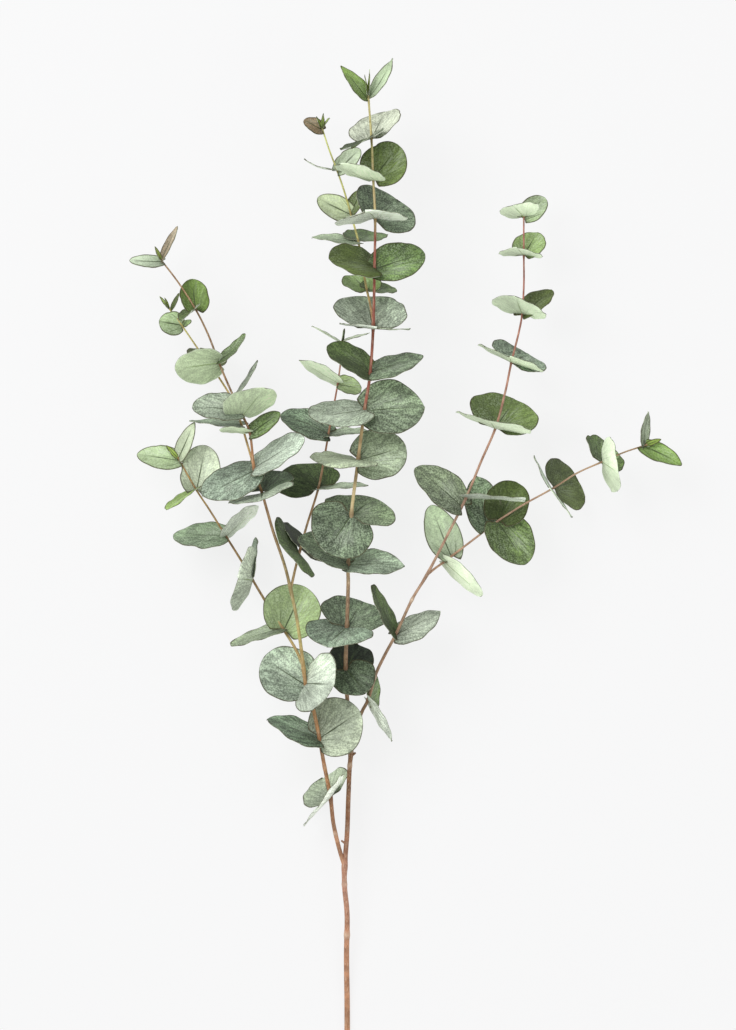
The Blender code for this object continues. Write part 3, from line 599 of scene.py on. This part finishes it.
def mottling(graph, blade, grains, depth):
    """How light each place of a leaf is: grain, streaks and clouds, painted shade round the root, and one
    half painted lighter as if in the window light, the other painted darker.
    """
    speckle = graph.attribute("tint", "Alpha") * depth
    streaks = fan_noise(graph, blade, streaks=12.0, stretch=0.12, detail=4.0)
    # The grain, streaks and clouds are the leaf's own mottling; the lines below add painted shade and light.
    light = sway(grains.step(0.4, 0.6), speckle) * sway(streaks.step(0.4, 0.6), 0.8 * speckle)
    light = light * sway(graph.noise(CLOUDS, 2.0).step(0.36, 0.64), 0.4 * depth)
    # Painted shade: the leaf is darker near its root, where the stem and the other leaf of the pair would
    # shade it.
    out = blade.along + blade.across.size() * 0.6
    light = light * (1 - depth * (1 - out.step(0.5, 8.0))) * (1 - 0.6 * depth * (1 - out.step(4.0, 30.0)))
    # Painted light and shade: the half nearer to the window light is lighter, the other half darker.
    return light * (0.1 + sway(blade.across.step(-10.0, 10.0), 0.6 * depth))


def shine(graph, blade):
    """A painted highlight: a soft pale place on the lit half of each leaf, as a domed waxy face shows in the
    light.
    """
    place = (blade.along - 14.0 - 12.0 * blade.chance).size() * 0.6 + (blade.across - 6.0).size()
    streaks = fan_noise(graph, blade, streaks=30.0, stretch=0.08, detail=3.0)
    return (1 - place.step(1.0, 15.0)) * streaks.step(0.4, 0.6) * blade.edge.step(0.5, 4.0)


def upper_face(colours):
    """Upper face: a grain of waxy bloom, a painted soft highlight, painted shade at the root and on one half,
    a dry rim, and veins that are green on a dark leaf.
    """
    graph = Graph("eucalyptus_leaf_upper")
    blade = read_blade(graph)
    midrib, lines, rim = veins(graph, blade)
    patches, grains = graph.noise(BLOOM_PATCHES, 4.0), graph.noise(BLOOM_GRAINS, 2.0)
    cells = graph.add("ShaderNodeTexVoronoi", {"feature": "DISTANCE_TO_EDGE"}, graph.coordinates(), Scale=NET)
    net = 1 - cells.step(0.03, 0.18)
    wax = grains.step(0.48, 0.62) * patches.step(0.38, 0.66)
    pale = blade.tone.step(-0.9, 0.5)
    vein = graph.mix(blade.tone.step(-0.7, -0.4), colours.green, colours.vein)
    base = graph.layered(
        graph.attribute("tint").scaled(mottling(graph, blade, grains, UPPER_DEPTH)),
        (wax * pale * 0.38, colours.bloom), (net * pale * 0.14, colours.bloom),
        # The painted highlight, in the colour of the palest leaves.
        (shine(graph, blade) * pale * 0.4, colours.pale), (lines * (0.2 + 0.45 * pale), vein),
        (midrib * 0.8, colours.vein), (rim * 0.85, colours.rim))
    height = net * 0.5 - lines * 0.6 - midrib + grains * 0.3
    return graph.finish(
        base, 0.55 + 0.15 * patches, graph.bump(height, 0.35, RELIEF), Specular_IOR_Level=0.22)


def under_face(colours):
    """Paler under face, painted lighter still and with painted shade at the root and on one half, with a
    raised midrib, a fan of veins, a painted highlight along its rim, and hardly any bloom.
    """
    graph = Graph("eucalyptus_leaf_underside")
    blade = read_blade(graph)
    midrib, lines, rim = veins(graph, blade)
    patches, grains = graph.noise(UNDER_PATCHES, 4.0), graph.noise(UNDER_GRAINS, 3.0)
    old = graph.attribute("tint", "Alpha").step(0.3, 0.6)
    below = graph.mix(old, colours.underside, colours.old_underside)
    tint = graph.mix(0.6 + 0.35 * blade.tone, graph.attribute("tint"), below)
    base = graph.layered(
        # Painted light: the under face is made lighter than its own colour.
        tint.scaled(UNDER_PAINTED_LIGHT * mottling(graph, blade, grains, UNDER_DEPTH)),
        # The pale line along the rim is a painted highlight.
        (lines * 0.28, colours.vein), (midrib * 0.5, colours.fresh), (rim * 0.4, colours.pale))
    height = lines * 0.7 + midrib + grains * 0.3
    return graph.finish(
        base, 0.6 + 0.12 * patches, graph.bump(height, 0.35, RELIEF), Specular_IOR_Level=0.2)


def rim_face(colours):
    graph = Graph("eucalyptus_leaf_rim")
    base = graph.mix(graph.noise(DRY_SPOTS).step(0.35, 0.65) * 0.5, colours.rim, colours.underside)
    return graph.finish(base, 0.7, None)


def bark_face(name):
    """Thin bark that runs through its own colours from foot to tip, with fine fibres and dark specks."""
    graph = Graph(f"eucalyptus_bark_{name}")
    first, last = BARK[name][0][0], BARK[name][-1][0]
    stops = [((height - first) / (last - first), paint(painted)) for height, painted in BARK[name]]
    up = graph.parts(graph.coordinates())[1]
    place = graph.add("ShaderNodeMapRange", None, up, FOOT.y + first * MM, FOOT.y + last * MM)
    fibres = graph.noise(1.0, 4.0, graph.coordinates((2400, 110, 2400)))
    specks = graph.noise(1.0, 2.0, graph.coordinates((900, 420, 900)))
    bands = graph.noise(1.0, 3.0, graph.coordinates((60, 130, 60)))
    patches = graph.noise(60, 4.0)
    knot, scar = graph.parts(graph.attribute("knot", "Vector"))[:2]
    marks = {mark: paint(painted) for mark, painted in BARK_MARKS.items()}
    base = graph.layered(
        graph.ramp(place, stops).scaled(sway(bands.step(0.34, 0.66), 0.22)),
        (patches.step(0.42, 0.66) * 0.35, marks["patch"]),
        (fibres.step(0.52, 0.68) * 0.42, marks["fibre"]),
        ((1 - fibres.step(0.3, 0.44)) * 0.45, marks["furrow"]),
        ((1 - specks.step(0.26, 0.38)) * 0.6, marks["speck"]),
        (knot * 0.55, marks["knot"]), (scar * 0.8, marks["scar"]))
    return graph.finish(
        base, 0.5 + 0.2 * patches, graph.bump(fibres * 0.6 + specks * 0.4, 0.5, BARK_RELIEF),
        Specular_IOR_Level=0.35)


def cut_face(colours):
    """The sawn foot of the stem: pale wood with rings round a darker pith."""
    graph = Graph("eucalyptus_cut_wood")
    x, _, z = graph.parts(graph.coordinates())
    x, z = (x - FOOT.x) / MM, (z - FOOT.z) / MM
    out = x * x + z * z
    rings = (out * 1.1 + graph.noise(700) * 0.8).to_line()
    base = graph.layered(
        colours.wood, (rings.step(0.1, 0.4) * 0.25, colours.pith), (1 - out.step(0.1, 0.35), colours.pith),
        (out.step(4.4, 5.2), paint(BARK_MARKS["skin"])))
    return graph.finish(base, 0.75, None)


def smooth_route(points, steps):
    """Points in millimetres of a smooth curve through the given ones, with steps to each stretch."""
    knots = [Vector(point) for point in points]
    knots = [2 * knots[0] - knots[1], *knots, 2 * knots[-1] - knots[-2]]
    route = []
    for before, start, end, after in zip(knots, knots[1:], knots[2:], knots[3:]):
        for step in range(steps):
            t = step / steps
            bend = (2 * before - 5 * start + 4 * end - after) * t**2
            twist = (3 * start - before - 3 * end + after) * t**3
            route.append((2 * start + (end - before) * t + bend + twist) / 2)
    return [*route, knots[-2]]


def at_height(route, height):
    """The route's point at this height, and its direction there."""
    for start, end in zip(route, route[1:]):
        if height <= end.y:
            break
    t = (height - start.y) / (end.y - start.y)
    return start.lerp(end, t), (end - start).normalized()


def deselect():
    bpy.ops.object.select_all(action="DESELECT")


def select_only(*objects):
    deselect()
    for chosen in objects:
        chosen.select_set(True)
    bpy.context.view_layer.objects.active = objects[0]


def apply_modifier(target, kind, **settings):
    select_only(target)
    modifier = target.modifiers.new(kind.title(), kind)
    for key, value in settings.items():
        setattr(modifier, key, value)
    bpy.ops.object.modifier_apply(modifier=modifier.name)


def smooth(piece, degrees):
    select_only(piece)
    bpy.ops.object.shade_smooth_by_angle(angle=math.radians(degrees))


def claim(piece, node):
    """Ties a finished piece to the branch, in place of the solid that it stands for."""
    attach(piece, "root")
    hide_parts(node)


def points_of(mesh):
    points = np.empty(len(mesh.vertices) * 3, np.float32)
    mesh.vertices.foreach_get("co", points)
    return points.reshape(-1, 3).astype(float)


def place_points(mesh, points):
    mesh.vertices.foreach_set("co", points.astype(np.float32).ravel())


def mark(mesh, name, *values):
    """Keeps three values for each point of the mesh, for its material."""
    attribute = mesh.attributes.new(name, "FLOAT_VECTOR", "POINT")
    attribute.data.foreach_set("vector", np.stack(values, axis=1).astype(np.float32).ravel())


def swelling(heights, at, amount, spread):
    """How much thicker a stem is at each of the heights, with a ring round every height in at."""
    rings = (amount * np.exp(-(((heights - h) / spread) ** 2)) for h in at)
    return sum(rings, np.zeros_like(heights))


def build_bark(name, colours):
    """The bare stem: a round curve along its route, thicker at each pair of leaves and below each shoot."""
    stem = STEMS[name]
    route = smooth_route(stem.route, STEPS_A_STRETCH)
    heights = np.array([point.y for point in route])
    share = np.linspace(0, 1, len(route))
    nodes = sorted({leaf.height for leaf in LEAVES[name]})
    shoots = [shoot.route[0][1] for shoot in STEMS.values() if shoot.parent == name]
    radius = stem.foot_radius + (stem.tip_radius - stem.foot_radius) * share
    radius = radius * SLIM * (
        1 + swelling(heights, nodes, KNOT, KNOT_LENGTH)
        + swelling(heights, SCARS.get(name, ()), SCAR, SCAR_LENGTH)
        + swelling(heights, shoots, COLLAR, COLLAR_LENGTH))
    deselect()
    bpy.ops.curve.primitive_bezier_curve_add()
    bark = bpy.context.object
    bark.name = bark.data.name = f"{name}_bark"
    line = bark.data
    line.splines.clear()
    spline = line.splines.new("POLY")
    spline.points.add(len(route) - 1)
    spline.points.foreach_set("co", [c for p in route for c in (*(ORIGIN + p * MM), 1)])
    spline.points.foreach_set("radius", radius.tolist())
    line.dimensions, line.twist_mode = "3D", "Z_UP"
    line.bevel_depth, line.bevel_resolution, line.use_fill_caps = MM, ROUNDNESS, True
    bpy.ops.object.convert(target="MESH")
    bark = bpy.context.object
    for stub in STUBS:
        if stub.stem == name:
            add_stub(bark, route, stub)
    bark.data.materials.append(bark_face(name))
    mark_knots(bark, nodes, name)
    if not stem.parent:
        mark_cut(bark, colours)
    smooth(bark, BARK_SMOOTH)
    claim(bark, name)


def add_stub(bark, route, stub):
    """A cut twig as a short cone with a rounded end, joined to its stem's bark."""
    root = at_height(route, stub.height)[0]
    reach = Vector(stub.reach)
    deselect()
    bpy.ops.mesh.primitive_cone_add(
        vertices=TWIG_SIDES, radius1=stub.radius * MM * TWIG_FLARE, radius2=stub.radius * MM * TWIG_TAPER,
        depth=reach.length * MM, location=ORIGIN + (root + reach / 2) * MM,
        rotation=reach.to_track_quat("Z", "Y").to_euler())
    twig = bpy.context.object
    apply_modifier(twig, "BEVEL", width=TWIG_ROUNDING * MM, segments=2)
    bpy.ops.object.transform_apply()
    select_only(bark, twig)
    bpy.ops.object.join()


def mark_knots(bark, nodes, name):
    """Tells the bark's material where its knots and scars are."""
    heights = (points_of(bark.data)[:, 1] - ORIGIN.y) / MM
    knot = np.clip(swelling(heights, nodes, 1, KNOT_LENGTH), 0, 1)
    scar = np.clip(swelling(heights, SCARS.get(name, ()), 1, SCAR_LENGTH), 0, 1)
    mark(bark.data, "knot", knot, scar, 0 * knot)


def mark_cut(bark, colours):
    """Gives the cut foot its own face of pale wood."""
    bark.data.materials.append(cut_face(colours))
    for face in bark.data.polygons:
        if face.normal.y < -0.9 and face.center.y < FOOT.y + MM / 2:
            face.material_index = 1


def blank_blade(sizes):
    """The flat blade that leaves are copies of: a grid that is finer at the midrib, the rim and the tip."""
    deselect()
    bpy.ops.mesh.primitive_grid_add(x_subdivisions=sizes.columns, y_subdivisions=sizes.rows, size=2)
    blank = bpy.context.object
    blank.name = blank.data.name = "blank_blade"
    points = points_of(blank.data)
    v, u = points[:, 0], (points[:, 1] + 1) / 2
    v = np.sign(v) * (0.5 * np.abs(v) ** 1.6 + 0.5 * np.sin(np.pi / 2 * np.abs(v)) ** 1.2)
    u = np.sin(np.pi / 2 * u)
    place_points(blank.data, np.stack([v, u, 0 * u], axis=1))
    return blank


def lobeless(leaf):
    return leaf.width <= NARROW or leaf.point > POINTED


def half_width(u, leaf):
    """The leaf's half width at u of its length, as a share of its greatest half width."""
    root = NARROW_ROOT if lobeless(leaf) else BROAD_ROOT
    low = np.sqrt(np.clip(1 - (1 - u / WIDEST) ** 2 * (1 - root**2), 0, 1))
    t = np.clip((u - WIDEST) / (1 - WIDEST), 0, 1)
    high = np.clip(1 - t ** (2 - 0.5 * leaf.point), 0, 1) ** (1 / (2 - 0.9 * leaf.point))
    return np.where(u < WIDEST, low, high)


def outline(u, side, chance):
    """How far the rim runs in and out along each side: slow and short waves, and a notch on some leaves."""
    slow, short = chance.uniform(0, math.tau), chance.uniform(0, math.tau)
    place = chance.uniform(NOTCH_FROM, NOTCH_TO)
    waves = np.sin(6 * u + slow + 2.2 * side) + 0.25 * np.sin(14 * u + short + 1.3 * side)
    notch = NOTCH * np.exp(-(((u - place) / NOTCH_LENGTH) ** 2)) * (side == chance.choice((-1, 1)))
    return 1 + OUTLINE_WAVE * 4 * u * (1 - u) * waves - notch * (chance.random() < NOTCHED)


def leaf_blade(blank, leaf, root, draw, chance, colours):
    """One leaf: a copy of the blank blade, bent to the leaf's reach, fold, cup and waves."""
    mesh = blank.data.copy()
    points = points_of(mesh)
    v, u = points[:, 0], points[:, 1]
    reach = Vector(leaf.reach)
    size, along = reach.length, reach.normalized()
    up = Vector(leaf.facing)
    up = (up - up.dot(along) * along).normalized()
    across = along.cross(up)
    lobe = 0 if lobeless(leaf) else LOBE
    fold = math.radians(leaf.fold)
    ripple, phase = RIPPLE * draw.uniform(0.3, 1) * size, draw.uniform(0, math.tau)

    turn, frill = chance.uniform(-TWIST, TWIST), chance.uniform(0, math.tau)
    half = leaf.width / 2 * half_width(u, leaf) * outline(u, np.sign(v), chance)
    side = half * v
    forward = size * (u - lobe * (1 - u) ** 2 * np.sin(np.pi / 2 * v) ** 2)
    rise = (np.sqrt(side**2 + SOFT_FOLD**2) - SOFT_FOLD) * math.sin(fold)
    rise = rise + leaf.cup * size * 4 * u * (1 - u) + turn * side * u
    rise = rise + ripple * v**2 * u * np.sin(math.tau * u + phase + v)
    rise = rise + FRILL * v**6 * np.sin(FRILL_WAVES * u + frill + 2 * v) * min(1, leaf.width / FRILL_WIDTH)
    rise = rise - GROOVE * np.exp(-((side / GROOVE_WIDTH) ** 2)) * np.clip(1.1 - u, 0, 1)
    place = np.array(ORIGIN) + MM * (
        np.array(root) + np.outer(forward, along) + np.outer(side * math.cos(fold), across)
        + np.outer(rise, up))
    place[:, 2] = np.maximum(place[:, 2], CAD_BOX[0][2] + HALF_BLADE)
    place_points(mesh, place)

    # The stem holds the root's middle, so that is no rim. The half nearer to the window light is the one that
    # the material paints lighter; the other half gets painted shade.
    edge = np.minimum((1 - np.abs(v)) * half + 0.02, u * size + np.where(np.abs(v) < 0.3, 2, 0.1))
    lit = 1 if across.x + 0.3 * across.y > 0 else -1
    mark(mesh, "blade", lit * side, u * size, edge)
    mark(mesh, "leaf", u, np.full_like(u, leaf.tone), np.full_like(u, chance.random()))
    paint_leaf(mesh, leaf, chance, colours)
    blade = bpy.data.objects.new("leaf", mesh)
    bpy.context.scene.collection.objects.link(blade)
    return blade


def paint_leaf(mesh, leaf, chance, colours):
    """The leaf's colour: its tint made darker or paler by its tone, which holds painted shade and light as
    well as the leaf's own shade, and by chance; and its speckle.
    """
    tint, pale = np.array(getattr(colours, leaf.tint)), np.array(colours.pale)
    paleness, darkness = max(leaf.tone, 0), max(-leaf.tone, 0)
    tint = (tint + (pale - tint) * 0.85 * paleness) * (1 - 0.85 * darkness)
    hue = np.array([chance.uniform(0.95, 1.05), 1, chance.uniform(0.92, 1.08)])
    shade = np.clip(tint * chance.uniform(0.94, 1.06) * hue, 0, 1)
    speckle = SPECKLE[leaf.tint] * (1 - 0.5 * paleness)
    attribute = mesh.attributes.new("tint", "FLOAT_COLOR", "POINT")
    attribute.data.foreach_set(
        "color", np.tile([*shade, speckle], len(mesh.vertices)).astype(np.float32))


def build_leaves(name, sizes, colours, faces):
    """All leaves of one stem as one piece, with thickness, and its three faces: upper, under and rim."""
    draw, chance = random.Random(name), random.Random(name + " looks")
    route = smooth_route(STEMS[name].route, 1)
    blank = blank_blade(sizes)
    blades = []
    for number, leaf in enumerate(LEAVES[name]):
        root, direction = at_height(route, leaf.height)
        root = root + NODE_STEP * (1 if number % 2 else -1) * direction
        blades.append(leaf_blade(blank, leaf, root, draw, chance, colours))
    bpy.data.objects.remove(blank)
    select_only(*blades)
    bpy.ops.object.join()
    leaves = bpy.context.object
    leaves.name = leaves.data.name = f"{name}_leaves"
    leaves.data.materials.clear()
    for face in faces:
        leaves.data.materials.append(face)
    bpy.ops.object.mode_set(mode="EDIT")
    bpy.ops.mesh.select_all(action="SELECT")
    bpy.ops.mesh.remove_doubles(threshold=MERGE * MM)
    bpy.ops.object.mode_set(mode="OBJECT")
    apply_modifier(
        leaves, "SOLIDIFY", thickness=sizes.blade, offset=0, material_offset=1, material_offset_rim=2)
    smooth(leaves, LEAF_SMOOTH)
    claim(leaves, name)


class BRANCH_OT_leafy_stem(bpy.types.Operator):
    """Builds the bark and the leaves of one stem of the branch"""

    bl_idname = "branch.leafy_stem"
    bl_label = "Leafy Stem"
    stem: StringProperty(name="Stem", description="Which stem to build", default="main_stem")

    def execute(self, context):
        sizes, colours = context.scene.branch_sizes, context.scene.branch_colours
        faces = [
            bpy.data.materials.get(name) or make(colours)
            for name, make in (
                ("eucalyptus_leaf_upper", upper_face),
                ("eucalyptus_leaf_underside", under_face),
                ("eucalyptus_leaf_rim", rim_face))]
        build_bark(self.stem, colours)
        build_leaves(self.stem, sizes, colours, faces)
        return {"FINISHED"}


class BRANCH_OT_studio(bpy.types.Operator):
    """Adds the pale table, the soft lights and the camera that looks straight down"""

    bl_idname = "branch.studio"
    bl_label = "Studio"

    def execute(self, context):
        studio = context.scene.branch_studio
        add_table(studio)
        add_lights(studio)
        add_camera(studio)
        context.scene.view_settings.view_transform = "Standard"
        return {"FINISHED"}


def add_table(studio):
    """A large plain table just under the lowest leaf, which gives off some light of its own."""
    deselect()
    bpy.ops.mesh.primitive_plane_add(size=TABLE_SIZE, location=(0, 0, -TABLE_DROP))
    table = bpy.context.object
    table.name = "table"
    bpy.ops.object.transform_apply()
    graph = Graph("pale_table")
    table.data.materials.append(graph.finish(
        None, 0.9, None, Base_Color=(*studio.table, 1), Specular_IOR_Level=0.1,
        Emission_Color=(1, 1, 1, 1), Emission_Strength=studio.glow))


def add_lights(studio):
    """A window light from the upper left, a weaker one from the lower right, and light from all round."""
    for name, place, size, strength in LIGHTS:
        deselect()
        turn = (-Vector(place)).to_track_quat("-Z", "Y").to_euler()
        bpy.ops.object.light_add(type="AREA", location=place, rotation=turn)
        light = bpy.context.object
        light.name = name
        light.data.size, light.data.energy = size, getattr(studio, strength)
    world = bpy.data.worlds.new("room")
    world.use_nodes = True
    background = world.node_tree.nodes["Background"]
    background.inputs["Color"].default_value = (1, 1, 1, 1)
    background.inputs["Strength"].default_value = studio.sky
    bpy.context.scene.world = world


def add_camera(studio):
    """A camera straight above the branch, whose view is as high as the photograph's frame."""
    target = ORIGIN + Vector(FRAME_MIDDLE) * MM
    deselect()
    bpy.ops.object.camera_add(location=target + Vector((0, 0, studio.distance)), rotation=(0, 0, 0))
    camera = bpy.context.object
    camera.name = "camera"
    lens = camera.data
    lens.sensor_fit, lens.sensor_height = "VERTICAL", SENSOR_HEIGHT
    lens.lens = SENSOR_HEIGHT * studio.distance / (FRAME_HEIGHT * MM)
    lens.clip_end = FAR_CLIP
    bpy.context.scene.camera = camera


class BRANCH_PT_panel(bpy.types.Panel):
    """Lists the stems and the studio, with the sizes and colours that they read"""

    bl_label = "Eucalyptus Branch"
    bl_space_type = "VIEW_3D"
    bl_region_type = "UI"
    bl_category = "Branch"

    def draw(self, context):
        for name in STEMS:
            self.layout.operator("branch.leafy_stem", text=name.replace("_", " ").title()).stem = name
        self.layout.operator("branch.studio")
        for group in (
                context.scene.branch_sizes, context.scene.branch_colours, context.scene.branch_studio):
            for key in group.__annotations__:
                self.layout.prop(group, key)


CLASSES = (
    BranchSizes, BranchColours, StudioSettings, BRANCH_OT_leafy_stem, BRANCH_OT_studio, BRANCH_PT_panel)


def register():
    for cls in CLASSES:
        bpy.utils.register_class(cls)
    bpy.types.Scene.branch_sizes = PointerProperty(type=BranchSizes)
    bpy.types.Scene.branch_colours = PointerProperty(type=BranchColours)
    bpy.types.Scene.branch_studio = PointerProperty(type=StudioSettings)


def unregister():
    del bpy.types.Scene.branch_sizes, bpy.types.Scene.branch_colours, bpy.types.Scene.branch_studio
    for cls in reversed(CLASSES):
        bpy.utils.unregister_class(cls)


def main():
    register()
    for name in STEMS:
        bpy.ops.branch.leafy_stem(stem=name)
    bpy.ops.branch.studio()


if __name__ == "__main__":
    main()
